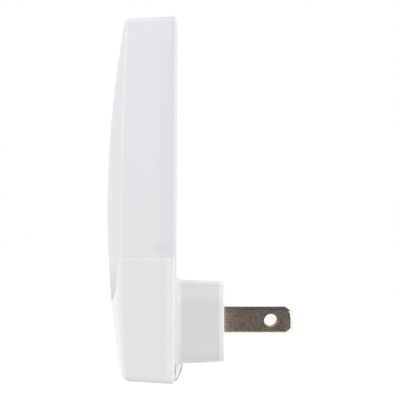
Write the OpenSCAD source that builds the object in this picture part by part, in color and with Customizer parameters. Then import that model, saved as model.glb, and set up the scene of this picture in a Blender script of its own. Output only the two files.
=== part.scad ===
// Automatic plug-in night light for a two-blade wall socket, in millimetres.
// The origin is the centre of the plug's contact face, midway between the two blades.
// -Y points into the room, +Y into the socket, +Z up, and X runs across the width.

/* [Case] */
// Width of the lower case
case_w = 54; // [52:0.5:58]
// Height of the case's top above the blade axis
case_top = 75.75; // [74:0.25:78]
// Depth of the case's bottom below the blade axis
case_drop = 15.05; // [15:0.05:15.5]
// Distance from the plug's contact face to the bottom of the case's rear face
standoff = 12.3; // [12.1:0.1:12.6]
// How far the rear face leans towards the wall by its top
top_lean = 0.45; // [0:0.05:0.5]
// Draft of every moulded side wall, in degrees
draft = 2.4; // [0.5:0.1:3]
// Wall thickness of the lens and the lower case
wall = 1.6; // [1.4:0.1:1.8]
// Rounding of the outside edges
edge_r = 1.25; // [0.8:0.05:1.4]
// Thickness of the back cover's visible edge
flange_t = 0.9; // [0.8:0.1:1.2]

/* [Front] */
// Depth of the crown of the front, from the plug's contact face
crown_depth = 29.5; // [29:0.1:31]
// Height of the crown above the blade axis
crown_z = 27.3; // [24:0.1:30]
// Radius of the front from top to bottom
crown_r = 260; // [240:5:300]
// Depth of the lens where its front meets its sides
lens_side_depth = 25.73; // [25:0.01:26]
// Depth of the lower case where its front meets its sides
case_side_depth = 26.1; // [25.8:0.1:26.5]
// Step from the lower case's side in to the lens's side
lens_step = 0.4; // [0.2:0.05:0.6]
// Height of the seam between the lens and the lower case, on the sides
seam_z = 16; // [15.5:0.1:17]
// How far the lens's tongue reaches below that seam
tongue_drop = 10.7; // [9:0.1:11]
// How squarely the tongue's lower corners turn: 2 makes it half an ellipse
tongue_power = 3.2; // [2.6:0.1:3.6]

/* [Plug] */
// Width of the plug body at its root
plug_w = 34; // [33:0.5:36]
// Height of the plug body at its root
plug_h = 20.6; // [20:0.1:21]
// How far the plug body's middle sits below the blade axis
plug_sink = 0.3; // [0:0.1:0.5]
// Corner radius of the plug body
plug_r = 5.5; // [4.5:0.1:6]
// Fillet between the plug body and the case
plug_fillet = 2; // [1.5:0.1:2.2]
// Wall thickness of the plug body
plug_wall = 1.8; // [1.6:0.1:2]
// Thickness of the plate that closes the plug body
face_t = 1.3; // [1:0.1:1.5]

/* [Blades] */
// Distance between the centres of the two blades
blade_pitch = 12.7; // [12.6:0.1:12.8]
// Height of a blade
blade_h = 6.35; // [6.3:0.01:6.4]
// Thickness of a blade
blade_t = 1.5; // [1.4:0.05:1.55]
// Length of a blade in front of the contact face
blade_len = 17.3; // [16:0.1:18]
// Diameter of the hole in each blade
blade_hole_d = 3.4; // [3.2:0.05:3.6]
// Distance of that hole from the contact face
blade_hole_at = 11.8; // [11.6:0.1:12.2]

/* [Sensor] */
// Width of the clear sensor window
window_w = 9; // [8:0.5:10]
// Radius of the window's outer face
window_r = 9; // [8.5:0.1:10]
// Diameter of the photocell
photocell_d = 5; // [4.8:0.1:5.1]

/* [Electronics] */
// Width of the driver board
driver_w = 44; // [43:0.5:46]
// Height of the driver board
driver_h = 25; // [24.5:0.1:25.2]
// Width of the reflector tray
tray_w = 46; // [44:0.5:47]
// Number of light emitting diodes in each of the two columns
led_rows = 3; // [2:1:4]

/* [Hidden] */
$fn = 48;
clear = 0.1;
// How far a shape runs into the one that it grows out of
sunk = 0.3;
corner_steps = 3;
across_steps = 8;
up_steps = 14;
seam_steps = 24;
fillet_steps = 5;
beyond = 60;
draft_tan = tan(draft);

// Case
case_hw = case_w / 2;
lens_hw = case_hw - lens_step;
case_mid_z = (case_top - case_drop) / 2;
shell_depth = lens_side_depth - standoff;
draft_in = shell_depth * draft_tan;
inner_r = 0.6;
lens_side_r = 1587;
lens_side_z = 10;
case_side_r = 360;
case_side_z = 15;

// Tabs on the tongue's edge, and posts in the lower case that stop the driver board
tab_x = [-12, 0, 12];
tab_half = 2.5;
tab_t = 1;
tab_below = 2;
tab_above = 3;
tab_gap = 0.6;
stop_x = 16;
stop_z = -8;
stop_r = 1.6;

// Plug body
plug_hw = plug_w / 2;
plug_hh = plug_h / 2;
sleeve_len = standoff - plug_fillet;
cavity_hw = plug_hw - plug_wall;
cavity_hh = plug_hh - plug_wall - clear;
cavity_r = plug_r - plug_wall;
spigot_back = 5;
shoulder_t = 1.2;
blade_tail = 9;
tail_h = 4;
shoulder_h = 8;
tip_run = 1.6;
tip_rise = 1.14;
blade_slot_z = blade_h / 2 + 0.03;
blade_slot_x = blade_t / 2 + 0.03;

// Back cover
step_t = 0.6;
rib_t = 1;
rib_h = 1.5;
plate_in_y = -standoff - flange_t - step_t;
boss_root_y = plate_in_y + top_lean + sunk;
snap_w = 6;
snap_t = 0.8;
snap_reach = 0.5;
snap_depth = flange_t + 1.5;
lens_snap_z = [32, 60];
case_snap_z = -4;
bottom_snap_x = 14;

// Boards, from the rear forwards
pcb_t = 1.2;
driver_rear_y = -18.5;
driver_front_y = driver_rear_y - pcb_t;
driver_low_z = -12.6;
driver_boss_x = 19.5;
driver_boss_z = -0.3;
tray_z0 = 18.5;
tray_z1 = 71;
tray_rear_y = -14;
tray_floor_y = -15.1;
tray_t = 1;
tray_wall = 1.2;
tray_r = 2;
led_board_y = tray_floor_y - tray_t;
led_board_t = 1;
led_front_y = led_board_y - led_board_t;
led_board_w = 40;
led_board_z0 = 20;
led_board_z1 = 70;
tray_screw_z = [26, 64];
led_x = 10;
led_w = 3.5;
led_h = 2.8;
led_t = 0.7;
phosphor_r = 1;
phosphor_t = 0.1;
led_first_z = led_board_z0 + 10;
led_last_z = led_board_z1 - 10;
led_step = (led_last_z - led_first_z) / (led_rows - 1);

// Screws
screw_r = 0.95;
pilot_r = 1;
pass_r = 1.15;
head_r = 1.9;
head_t = 1.3;
boss_r = 2.5;
slot_len = 2.2;
slot_w = 0.6;
slot_depth = 0.6;
tray_shank = 3.5;
driver_shank = 4.8;
pilot_spare = 0.3;

// Through-hole parts on the driver board: centre [x, z], lead spacing and body
lead_r = 0.3;
lead_out = 0.8;
lead_in = 1;
film_at = [-7, 4.5];
film_size = [13, 8.4, 6];
film_pitch = 10;
cap_at = [7.5, -3.8];
cap_d = 8;
cap_h = 8;
cap_pitch = 3.5;
crimp_from = 1.2;
crimp_to = 1.9;
crimp_depth = 0.35;
fuse_at = [-8, 10.2];
fuse_pitch = 13;
fuse_d = 3.4;
fuse_len = 9;
bleed_at = [[8, 5], [8, 8.3]];
bleed_pitch = 9;
bleed_d = 2.4;
bleed_len = 6.3;
zener_at = [9, -8];
zener_pitch = 7.6;
zener_d = 2.2;
zener_len = 4;
bridge_at = [-9, -1.4];
bridge_size = [8.5, 2.6, 6.4];
bridge_pitch = 7.6;
bridge_row = 5.1;
transistor_at = [-9, -7];
transistor_pitch = 2.54;
transistor_d = 4.6;
transistor_h = 4.2;
transistor_flat = 1.2;
transistor_gap = 0.6;

// Wires
lead_wire_r = 0.6;
lead_run = 4;
tail_wire_z = 1;
line_at = [blade_pitch / 2, 4];
neutral_at = [-blade_pitch / 2, -4];
link_wire_r = 0.5;
link_x = [2, 6];
link_z = 11;
link_out = 1.6;
link_rise = 2.5;
elbow_scale = 1.04;

// Light sensor
photocell_at = [0, -9.9];
photocell_pitch = 2.6;
photocell_front_y = -15;
photocell_t = 2;
sleeve_t = 0.7;
window_hw = window_w / 2;
window_top_z = -10.75;
window_low_z = -15.3;
window_arc = [-10.4 - window_r, -10.2];
window_front_y = -14.6;
window_rim_y = -standoff - flange_t + 0.05;
window_foot_z = wall + 0.2 - case_drop;
window_flange = 1;
window_rise = 1.7;
window_gap = 0.3;

// ---- Shapes of the case ----

// Lean of the rear face at height z, from none at the bottom edge.
function lean(z) = top_lean * (z + case_drop) / (case_top + case_drop);

// Plane where the two front shells meet the back cover.
function rim_y(z) = -standoff - flange_t + lean(z);

// Middle line of the front, from top to bottom.
function crown_y(z) = -crown_depth + pow(z - crown_z, 2) / (2 * crown_r);

// Side lines of the front, where it meets the side walls.
lens_side = function (z) -lens_side_depth + pow(z - lens_side_z, 2) / (2 * lens_side_r);
case_side = function (z) -case_side_depth + pow(min(0, z - case_side_z), 2) / (2 * case_side_r);

// The pillowed front: full crown on the middle line, none at the sides.
function front_y(x, z, side, hw) =
    side(z) + (crown_y(z) - side(z)) * (1 - pow(min(1, abs(x) / hw), 2));

// Height of the seam's curved part at x: half a squared-off ellipse that hangs from the side seam.
tongue_hw = lens_hw - wall - clear;
function tongue_z(x) =
    seam_z - tongue_drop * pow(1 - pow(min(1, abs(x) / tongue_hw), tongue_power), 1 / tongue_power);

// Places along that curve, closer together where it turns.
tongue_x = [for (i = [0 : seam_steps]) let (c = cos(180 * i / seam_steps))
    -tongue_hw * sign(c) * pow(abs(c), 2 / tongue_power)];

function arc_points(cx, cz, r, from) =
    [for (i = [0 : corner_steps]) let (a = from + 90 * i / corner_steps)
        [cx + r * cos(a), cz + r * sin(a)]];

function between(p, q, steps) = [for (i = [1 : 1 : steps - 1]) p + (q - p) * i / steps];

// Rounded rectangle as [x, z] points, anticlockwise from its lower right corner.
function outline(hw, z0, z1, r, across, up) = concat(
    arc_points(hw - r, z0 + r, r, -90),
    between([hw, z0 + r], [hw, z1 - r], up),
    arc_points(hw - r, z1 - r, r, 0),
    between([hw - r, z1], [r - hw, z1], across),
    arc_points(r - hw, z1 - r, r, 90),
    between([-hw, z1 - r], [-hw, z0 + r], up),
    arc_points(r - hw, z0 + r, r, 180),
    between([r - hw, z0], [hw - r, z0], across));

// Ring of the case's outline, pulled in by `inset`.
function case_outline(hw, inset, r) =
    outline(hw - inset, inset - case_drop, case_top - inset, r, across_steps, up_steps);

function rim_ring(hw, inset, r) = [for (p = case_outline(hw, inset, r)) [p.x, rim_y(p.y), p.y]];

// Ring on the front: pulled in by `inset`, shrunk towards the middle, and `behind` the surface.
function front_ring(hw, side, inset, shrink, r, behind) =
    [for (p = case_outline(hw, draft_in + inset, r))
        let (x = p.x * shrink, z = case_mid_z + (p.y - case_mid_z) * shrink)
        [x, front_y(x, z, side, hw) + behind, z]];

// Rings over one face of a shell, from the middle of the front out to the rim.
function face_rings(hw, side, inset, r, behind) = concat(
    [for (s = [0.25 : 0.25 : 0.75]) front_ring(hw, side, inset + r, s, 0.05, behind)],
    [for (i = [corner_steps : -1 : 0]) let (a = 90 * i / corner_steps)
        front_ring(hw, side, inset + r * (1 - cos(a)), 1, max(0.05, r * cos(a)),
            behind + r * (1 - sin(a)))],
    [rim_ring(hw, inset, r)]);

function backwards(list) = [for (i = [len(list) - 1 : -1 : 0]) list[i]];

// Closed skin through rings of equal point counts, from one end point to the other.
module skin(start, rings, finish) {
    n = len(rings[0]);
    last = 1 + len(rings) * n;
    polyhedron(
        points = concat([start], [for (ring = rings) each ring], [finish]),
        faces = concat(
            [for (i = [0 : n - 1]) [0, 1 + (i + 1) % n, 1 + i]],
            [for (k = [0 : len(rings) - 2], i = [0 : n - 1])
                let (a = 1 + k * n + i, b = 1 + k * n + (i + 1) % n)
                each [[a, b, a + n], [b, b + n, a + n]]],
            [for (i = [0 : n - 1]) [last, last - n + i, last - n + (i + 1) % n]]));
}

// Hollow front shell of the whole case, open at the rear.
module shell(hw, side) {
    skin([0, front_y(0, case_mid_z, side, hw), case_mid_z],
        concat(face_rings(hw, side, 0, edge_r, 0),
            backwards(face_rings(hw, side, wall, inner_r, wall))),
        [0, front_y(0, case_mid_z, side, hw) + wall, case_mid_z]);
}

// Everything above the seam, tongue included, reaching `gap` past it.
module above_seam(gap = 0) {
    widen = 1 + gap / tongue_hw;
    rotate([90, 0, 0]) linear_extrude(beyond) polygon(concat(
        [[-beyond, seam_z - gap]],
        [for (x = tongue_x) [x * widen, tongue_z(x) - gap]],
        [[beyond, seam_z - gap], [beyond, 2 * case_top], [-beyond, 2 * case_top]]));
}

// ---- Exact building blocks ----

// Rounded rectangle in the XZ plane, drawn in 2D.
module rounded(hw, z0, z1, r) {
    translate([-hw, z0 + r]) square([2 * hw, z1 - z0 - 2 * r]);
    translate([r - hw, z0]) square([2 * (hw - r), z1 - z0]);
    for (x = [r - hw, hw - r], z = [z0 + r, z1 - r]) translate([x, z]) circle(r);
}

// A 2D shape of the XZ plane, made solid from y0 to y1.
module slab(y0, y1) {
    translate([0, y1, 0]) rotate([90, 0, 0]) linear_extrude(y1 - y0) children();
}

// A 2D shape of the YZ plane, made solid across a width about X = 0.
module across(w) {
    translate([-w / 2, 0, 0]) rotate([90, 0, 90]) linear_extrude(w) children();
}

// Cylinder along Y through [x, z].
module post(at, y0, y1, r) {
    translate([at.x, y1, at.y]) rotate([90, 0, 0]) cylinder(h = y1 - y0, r = r);
}

module box(x0, x1, y0, y1, z0, z1) {
    translate([x0, y0, z0]) cube([x1 - x0, y1 - y0, z1 - z0]);
}

// Round wire along a list of points, with ball elbows a little proud of it.
module wire(path, r) {
    for (i = [0 : len(path) - 2]) {
        step = path[i + 1] - path[i];
        translate(path[i])
            rotate([0, acos(step.z / norm(step)), atan2(step.y, step.x)])
                cylinder(h = norm(step), r = r, $fn = 24);
    }
    for (i = [1 : 1 : len(path) - 2]) translate(path[i]) sphere(elbow_scale * r, $fn = 24);
}

// ---- Case ----

// Rectangular catches that join the back cover to the shells; `grow` turns them into pockets.
module side_snaps(hw, heights, grow) {
    for (s = [-1, 1], z = heights)
        translate([s * (hw - wall - clear), -standoff - snap_depth + lean(z), z])
            cube([2 * (snap_reach + grow), snap_t + 2 * grow, snap_w + 2 * grow], center = true);
}

module end_snaps(places, z, grow) {
    for (x = places)
        translate([x, -standoff - snap_depth + lean(z), z])
            cube([snap_w + 2 * grow, snap_t + 2 * grow, 2 * (snap_reach + grow)], center = true);
}

module lens_snaps(grow) {
    side_snaps(lens_hw, lens_snap_z, grow);
    end_snaps([0], case_top - wall - clear, grow);
}

module case_snaps(grow) {
    side_snaps(case_hw, [case_snap_z], grow);
    end_snaps([-bottom_snap_x, bottom_snap_x], wall + clear - case_drop, grow);
}

// Finger on the tongue's edge that sits behind the lower case's wall.
module tongue_tab(x) {
    low = tongue_z(x) - tab_below;
    high = tongue_z(x) + tab_above;
    outer_x = abs(x) + tab_half;
    face = front_y(outer_x, low, case_side, case_hw) + wall + clear;
    box(x - tab_half, x + tab_half, face, face + tab_t, low, high);
    box(x - tab_half, x + tab_half, face - tab_t, face + tab_t, tongue_z(outer_x) + tab_gap, high);
}

// Post inside the lower case that ends at the driver board.
module stop_post(x) {
    root = front_y(abs(x), stop_z, case_side, case_hw) + wall - sunk;
    post([x, stop_z], root, driver_front_y, stop_r);
}

module lens() color("ghostwhite") difference() {
    union() {
        intersection() {
            shell(lens_hw, lens_side);
            above_seam();
        }
        for (x = tab_x) tongue_tab(x);
    }
    lens_snaps(clear);
}

module front_housing() color("whitesmoke") difference() {
    union() {
        difference() {
            shell(case_hw, case_side);
            above_seam(clear);
        }
        for (s = [-1, 1]) stop_post(s * stop_x);
    }
    case_snaps(clear);
}

// Outline of the back cover, pulled in by `inset`: wide below the seam, narrower above it.
module cover_outline(inset) {
    rounded(case_hw - inset, inset - case_drop, seam_z, edge_r);
    rounded(lens_hw - inset, seam_z - 3 * edge_r, case_top - inset, edge_r);
    translate([inset - case_hw, 0]) square([2 * (case_hw - inset), seam_z]);
}

// Layer of the back cover between two depths from its rear face, following its lean.
module cover_layer(near, far) {
    top = 2 * case_top;
    across(beyond) polygon([[lean(-top) - standoff - near, -top], [lean(top) - standoff - near, top],
        [lean(top) - standoff - far, top], [lean(-top) - standoff - far, -top]]);
}

module cover_plate() {
    fit = wall + clear;
    rib_far = flange_t + step_t + rib_h;
    intersection() {
        slab(-beyond, 0) cover_outline(0);
        cover_layer(0, flange_t);
    }
    intersection() {
        slab(-beyond, 0) cover_outline(fit);
        cover_layer(flange_t / 2, flange_t + step_t);
    }
    intersection() {
        slab(-beyond, 0) difference() {
            cover_outline(fit);
            cover_outline(fit + rib_t);
        }
        cover_layer(flange_t, rib_far);
    }
}

// Outline of the plug body at y, grown by `e`; its root follows the lean of the rear face.
function plug_outline(e, y, leaning) =
    [for (p = outline(plug_hw + e, -plug_sink - plug_hh - e, plug_hh - plug_sink + e,
        plug_r + e, 1, 1)) [p.x, y + leaning * lean(p.y), p.y]];

// Plug body: a flared root, then a drafted sleeve out to the face plate.
module plug_sleeve() {
    skin([0, -standoff - sunk, -plug_sink],
        concat([plug_outline(plug_fillet, -standoff - sunk, 1)],
            [for (i = [0 : fillet_steps]) let (a = 90 * i / fillet_steps)
                plug_outline(plug_fillet * (1 - sin(a)), plug_fillet * (1 - cos(a)) - standoff, 1)],
            [plug_outline((face_t - sleeve_len) * draft_tan, -face_t, 0)]),
        [0, -face_t, -plug_sink]);
}

module back_cover() color("white") difference() {
    union() {
        cover_plate();
        plug_sleeve();
        for (s = [-1, 1])
            post([s * driver_boss_x, driver_boss_z], driver_rear_y, boss_root_y, boss_r);
        for (z = tray_screw_z) post([0, z], tray_floor_y, boss_root_y, boss_r);
        lens_snaps(0);
        case_snaps(0);
    }
    // cavity of the plug body
    slab(-beyond, 0) rounded(cavity_hw, -plug_sink - cavity_hh, cavity_hh - plug_sink, cavity_r);
    // pilot holes of the screws
    for (s = [-1, 1])
        post([s * driver_boss_x, driver_boss_z], -beyond,
            driver_front_y + driver_shank + pilot_spare, pilot_r);
    for (z = tray_screw_z)
        post([0, z], -beyond, led_front_y + tray_shank + pilot_spare, pilot_r);
    // opening of the sensor window, and room for its flange and the photocell's sleeve
    opening_hw = window_hw + clear / 2;
    recess_hw = window_hw + window_flange + window_gap;
    box(-opening_hw, opening_hw, -beyond, 0, -beyond, window_top_z + clear);
    box(-recess_hw, recess_hw, -beyond, plate_in_y, -beyond,
        window_top_z + window_rise + window_gap);
}

// ---- Plug ----

module plug_face_plate() color("white") difference() {
    union() {
        face_e = (face_t - sleeve_len) * draft_tan;
        slab(-face_t, 0) rounded(plug_hw + face_e, -plug_sink - plug_hh - face_e,
            plug_hh - plug_sink + face_e, plug_r + face_e);
        slab(-spigot_back, 0) rounded(cavity_hw - clear, clear - plug_sink - cavity_hh,
            cavity_hh - plug_sink - clear, cavity_r - clear);
    }
    for (s = [-1, 1]) box(s * blade_pitch / 2 - blade_slot_x, s * blade_pitch / 2 + blade_slot_x,
        -spigot_back - 1, 1, -blade_slot_z, blade_slot_z);
}

// Flat blade with a chamfered tip, a lock hole, a shoulder and a solder tail.
module blade(x) {
    hh = blade_h / 2;
    translate([x, 0, 0]) difference() {
        across(blade_t) polygon([
            [-blade_tail, -tail_h / 2], [-spigot_back - shoulder_t, -tail_h / 2],
            [-spigot_back - shoulder_t, -shoulder_h / 2], [-spigot_back, -shoulder_h / 2],
            [-spigot_back, -hh], [blade_len - tip_run, -hh], [blade_len, tip_rise - hh],
            [blade_len, hh - tip_rise], [blade_len - tip_run, hh], [-spigot_back, hh],
            [-spigot_back, shoulder_h / 2], [-spigot_back - shoulder_t, shoulder_h / 2],
            [-spigot_back - shoulder_t, tail_h / 2], [-blade_tail, tail_h / 2]]);
        translate([-blade_t, blade_hole_at, 0]) rotate([0, 90, 0])
            cylinder(h = 2 * blade_t, d = blade_hole_d);
    }
}

module blade_line() color("#8a8378") blade(blade_pitch / 2);

module blade_neutral() color("#8a8378") blade(-blade_pitch / 2);

// Lead from the end of a blade's tail to its hole in the driver board.
module blade_lead(x, turn_z, at) {
    turn_y = -blade_tail - lead_run;
    wire([[x, -blade_tail, turn_z], [x, turn_y, turn_z], [at.x, turn_y, at.y],
        [at.x, driver_rear_y, at.y]], lead_wire_r);
}

module line_wire() color("black") blade_lead(blade_pitch / 2, tail_wire_z, line_at);

module neutral_wire() color("white")
    blade_lead(-blade_pitch / 2, -tail_wire_z, neutral_at);

// ---- Light ----

module reflector_tray() color("white") difference() {
    slab(led_board_y, tray_rear_y) rounded(tray_w / 2, tray_z0, tray_z1, tray_r);
    slab(tray_floor_y, 0) rounded(tray_w / 2 - tray_wall, tray_z0 + tray_wall,
        tray_z1 - tray_wall, tray_r - tray_t);
    for (z = tray_screw_z) post([0, z], -beyond, 0, pass_r);
}

module led_board() color("honeydew") difference() {
    slab(led_front_y, led_board_y)
        rounded(led_board_w / 2, led_board_z0, led_board_z1, 1);
    for (z = tray_screw_z) post([0, z], -beyond, 0, pass_r);
}

module leds() color("khaki")
    for (s = [-1, 1], i = [0 : led_rows - 1]) {
        z = led_first_z + i * led_step;
        box(s * led_x - led_w / 2, s * led_x + led_w / 2, led_front_y - led_t, led_front_y,
            z - led_h / 2, z + led_h / 2);
        post([s * led_x, z], led_front_y - led_t - phosphor_t, led_front_y, phosphor_r);
    }

module link_wires() color("red")
    for (x = link_x)
        wire([[x, driver_front_y, link_z], [x, driver_front_y - link_out, link_z],
            [x, driver_front_y - link_out, led_board_z0 + link_rise],
            [x, led_front_y, led_board_z0 + link_rise]], link_wire_r);

// ---- Driver ----

// The two leads of a part centred at [x, z].
function lead_pair(at, pitch) = [[at.x - pitch / 2, at.y], [at.x + pitch / 2, at.y]];

LEADS = concat(
    lead_pair(film_at, film_pitch), lead_pair(cap_at, cap_pitch), lead_pair(fuse_at, fuse_pitch),
    [for (at = bleed_at) each lead_pair(at, bleed_pitch)], lead_pair(zener_at, zener_pitch),
    lead_pair(bridge_at + [0, bridge_row / 2], bridge_pitch),
    lead_pair(bridge_at - [0, bridge_row / 2], bridge_pitch),
    lead_pair(transistor_at, transistor_pitch), [transistor_at],
    lead_pair(photocell_at, photocell_pitch));

module driver_board() color("seagreen") difference() {
    slab(driver_front_y, driver_rear_y)
        rounded(driver_w / 2, driver_low_z, driver_low_z + driver_h, 1.5);
    for (at = LEADS) post(at, -beyond, 0, lead_r + clear);
    for (s = [-1, 1]) post([s * driver_boss_x, driver_boss_z], -beyond, 0, pass_r);
}

// Leads that start on the rear side of the board and come out of its front, or the other way.
module rear_leads(at, pitch, from) {
    for (p = lead_pair(at, pitch)) post(p, driver_front_y - lead_out, from, lead_r);
}

module front_leads(at, pitch, from) {
    for (p = lead_pair(at, pitch)) post(p, from, driver_rear_y + lead_out, lead_r);
}

// Round part lying along X beside the board, its leads bent at both ends and run to `ends_y`.
module axial(at, y, d, l, pitch, ends_y) {
    translate([at.x - l / 2, y, at.y]) rotate([0, 90, 0]) cylinder(h = l, d = d);
    for (s = [-1, 1])
        wire([[at.x + s * (l / 2 - lead_in), y, at.y], [at.x + s * pitch / 2, y, at.y],
            [at.x + s * pitch / 2, ends_y, at.y]], lead_r);
}

module film_capacitor() color("goldenrod") {
    y0 = driver_rear_y + clear;
    box(film_at.x - film_size.x / 2, film_at.x + film_size.x / 2, y0, y0 + film_size.y,
        film_at.y - film_size.z / 2, film_at.y + film_size.z / 2);
    rear_leads(film_at, film_pitch, y0 + lead_in);
}

module smoothing_capacitor() color("midnightblue") {
    y0 = driver_rear_y + clear;
    difference() {
        post(cap_at, y0, y0 + cap_h, cap_d / 2);
        // crimp groove round the can
        difference() {
            post(cap_at, y0 + crimp_from, y0 + crimp_to, cap_d);
            post(cap_at, y0, y0 + cap_h, cap_d / 2 - crimp_depth);
        }
    }
    rear_leads(cap_at, cap_pitch, y0 + lead_in);
}

module fusible_resistor() color("cornflowerblue")
    axial(fuse_at, driver_rear_y + clear + fuse_d / 2, fuse_d, fuse_len, fuse_pitch,
        driver_front_y - lead_out);

module bleed_resistors() color("burlywood")
    for (at = bleed_at)
        axial(at, driver_front_y - clear - bleed_d / 2, bleed_d, bleed_len, bleed_pitch,
            driver_rear_y + lead_out);

module zener_diode() color("orangered")
    axial(zener_at, driver_front_y - clear - zener_d / 2, zener_d, zener_len, zener_pitch,
        driver_rear_y + lead_out);

module bridge_rectifier() color("dimgray") {
    y1 = driver_front_y - clear;
    box(bridge_at.x - bridge_size.x / 2, bridge_at.x + bridge_size.x / 2, y1 - bridge_size.y, y1,
        bridge_at.y - bridge_size.z / 2, bridge_at.y + bridge_size.z / 2);
    for (row = [-1, 1])
        front_leads(bridge_at + [0, row * bridge_row / 2], bridge_pitch, y1 - lead_in);
}

module transistor() color("dimgray") {
    y1 = driver_front_y - transistor_gap;
    difference() {
        post(transistor_at, y1 - transistor_h, y1, transistor_d / 2);
        // flat side
        box(-beyond, beyond, -beyond, 0, transistor_at.y + transistor_flat, beyond);
    }
    front_leads(transistor_at, transistor_pitch, y1 - lead_in);
    post(transistor_at, y1 - lead_in, driver_rear_y + lead_out, lead_r);
}

// ---- Sensor ----

module photocell() color("sienna") {
    post(photocell_at, photocell_front_y - photocell_t, photocell_front_y, photocell_d / 2);
    rear_leads(photocell_at, photocell_pitch, photocell_front_y - lead_in);
}

module photocell_sleeve() color("#202020") difference() {
    post(photocell_at, driver_rear_y, window_front_y - clear, photocell_d / 2 + sleeve_t);
    post(photocell_at, -beyond, 0, photocell_d / 2 + clear / 2);
}

// Clear block that bulges out below the plug body and wraps the case's lower rear edge.
module sensor_window() color("gainsboro", 0.5) {
    intersection() {
        translate([-window_hw, window_arc.x, window_arc.y]) rotate([0, 90, 0])
            cylinder(h = window_w, r = window_r, $fn = 96);
        box(-window_w, window_w, window_rim_y, 0, window_low_z, window_top_z);
    }
    box(-window_hw, window_hw, window_front_y, window_rim_y, window_foot_z, window_top_z);
    // flange inside the case
    box(-window_hw - window_flange, window_hw + window_flange, window_front_y,
        plate_in_y - clear / 2, window_foot_z, window_top_z + window_rise);
}

// ---- Fasteners ----

// Pan head screw along Y with its head at y, pointing to +Y.
module screw(at, y, l) {
    difference() {
        post(at, y - head_t, y, head_r);
        for (a = [0, 90]) translate([at.x, y - head_t, at.y]) rotate([0, a, 0])
            cube([slot_len, 2 * slot_depth, slot_w], center = true);
    }
    post(at, y - sunk, y + l, screw_r);
}

module board_screws() color("silver") {
    for (s = [-1, 1]) screw([s * driver_boss_x, driver_boss_z], driver_front_y, driver_shank);
    for (z = tray_screw_z) screw([0, z], led_front_y, tray_shank);
}

lens();
front_housing();
back_cover();
plug_face_plate();
blade_line();
blade_neutral();
line_wire();
neutral_wire();
reflector_tray();
led_board();
leds();
driver_board();
film_capacitor();
smoothing_capacitor();
bridge_rectifier();
fusible_resistor();
bleed_resistors();
zener_diode();
transistor();
photocell();
photocell_sleeve();
sensor_window();
board_screws();
link_wires();
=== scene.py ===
"""Automatic plug-in night light: its finished look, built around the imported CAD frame.

Sizes are in millimetres until a mesh is made, and in metres from then on. The origin is the centre of the
plug's contact face, +Y runs into the socket, +Z up, X across the width, and the lens faces -Y.
"""
import math

import bmesh
import bpy
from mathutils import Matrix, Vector


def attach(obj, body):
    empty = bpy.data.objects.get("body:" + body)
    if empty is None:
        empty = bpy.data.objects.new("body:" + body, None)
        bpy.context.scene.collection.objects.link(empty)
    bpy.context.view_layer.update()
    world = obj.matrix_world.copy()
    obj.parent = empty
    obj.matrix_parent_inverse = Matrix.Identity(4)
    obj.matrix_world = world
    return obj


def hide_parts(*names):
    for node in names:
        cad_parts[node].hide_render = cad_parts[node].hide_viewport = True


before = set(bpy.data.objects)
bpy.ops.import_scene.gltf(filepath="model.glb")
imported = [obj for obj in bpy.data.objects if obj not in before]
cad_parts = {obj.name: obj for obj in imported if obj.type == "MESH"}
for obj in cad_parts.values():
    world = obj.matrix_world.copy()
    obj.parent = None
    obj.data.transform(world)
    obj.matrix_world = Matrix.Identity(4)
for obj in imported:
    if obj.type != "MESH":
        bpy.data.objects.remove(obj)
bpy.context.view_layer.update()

MM = 0.001
QUARTER = math.pi / 2
BODY = "root"

# ---- Driving sizes, as in the CAD source ----

CASE_HW = 27.0  # half width of the lower case
CASE_TOP = 75.75
CASE_DROP = 15.05
STANDOFF = 12.3
TOP_LEAN = 0.45
DRAFT = math.tan(math.radians(2.4))
EDGE_R = 1.25
FLANGE = 0.9

CROWN_DEPTH = 29.48
CROWN_Z = 27.3
CROWN_R = 260.0
LENS_SIDE = {"depth": 25.73, "z": 10.0, "r": 1587.0, "limit": 200.0}
CASE_SIDE = {"depth": 26.1, "z": 15.0, "r": 360.0, "limit": 0.0}
LENS_STEP = 0.4
LENS_HW = CASE_HW - LENS_STEP
SEAM_Z = 16.0
SEAM_GAP = 0.1
SEAM_BLEND = 2.5  # how softly the side seam turns down into the tongue's edge
SEAM_SETTLE = 0.265  # how far that soft turn would lower the seam on the sides
TONGUE_DROP = 10.7 + SEAM_SETTLE
TONGUE_POWER = 3.2
TONGUE_HW = 24.9
DRAFT_IN = (LENS_SIDE["depth"] - STANDOFF) * DRAFT
SIDE_X = LENS_HW - DRAFT_IN  # the seam is level from here outwards

PLUG_HW = 17.0
PLUG_HH = 10.3
PLUG_SINK = 0.3
PLUG_R = 5.5
PLUG_FILLET = 2.0
PLUG_WALL = 1.8
FACE_T = 1.3
SPIGOT = 5.0

BLADE_X = 6.35
BLADE_HH = 3.175
BLADE_HALF_T = 0.75
BLADE_LEN = 17.3
BLADE_TAIL = 9.0
TIP_RUN = 1.6
TIP_RISE = 1.14
HOLE_AT = 11.8
HOLE_R = 1.7

# ---- Sizes that only the finished look needs ----

SHELL_WALL = 0.8  # thinner than the edge rounding, so that the inner skin can't fold over
LENS_EDGE = 1.0  # rounding between the lens's front and its sides, crisper than the case's
CASE_EDGE = 1.5
CELL = 0.75
ROUND_STEPS = 8
BOARD_REAR = -18.45  # the driver board's rear face, where the rear parts' leads begin
LEADS_FROM = -19.85  # where the leads of the parts in front of the board begin
FAR_FRONT = -30.0  # in front of everything
SLEEVE_TOP = -10.46  # where the smoothing capacitor's sleeve ends and its bare can shows
RING_HALF = 0.3  # half the width of a resistor's painted ring
LENS_LIP = 0.03  # rounding of the lens's edge at the seam
CASE_LIP = 0.40  # and of the lower case's edge, which stands proud of the lens
SEAM_SHUT = 0.004  # what stays open between the two
RIM_LIP = 0.03
RIM_FRONT_Y = -STANDOFF - FLANGE - 2 * RIM_LIP  # what lies behind this is the shells' rear rim
LIP_STEPS = 5


# ---- Small tools ----

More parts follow.
